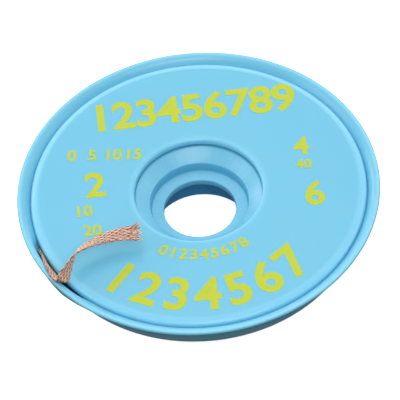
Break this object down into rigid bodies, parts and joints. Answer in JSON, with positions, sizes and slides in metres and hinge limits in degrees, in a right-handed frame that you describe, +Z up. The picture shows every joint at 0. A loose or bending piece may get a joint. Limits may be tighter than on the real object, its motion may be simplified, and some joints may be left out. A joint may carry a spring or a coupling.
{
  "type": "desoldering braid on a spool",
  "caption": "Flat copper desoldering braid wound inside a round moulded plastic spool, with a short free end folded out over the rim.",
  "frame": {"origin": "centre of the ring under the hub, which the spool lies on", "axes": "+Z up along the spool's axis, towards the lid's face; -Y is towards the picture's viewer"},
  "size_m": [0.053, 0.053, 0.0139],
  "materials": {
    "lid_plastic": "satin moulded polystyrene, light blue",
    "pan_plastic": "satin moulded polystyrene, light blue",
    "wound_braid": "bare copper braid, fluxed",
    "free_braid": "bare copper braid, fluxed"
  },
  "bodies": {
    "root": {"front_flange": "lid_plastic", "rear_shell": "pan_plastic", "braid_roll": "wound_braid", "braid_tail": "free_braid"}
  },
  "joints": []
}
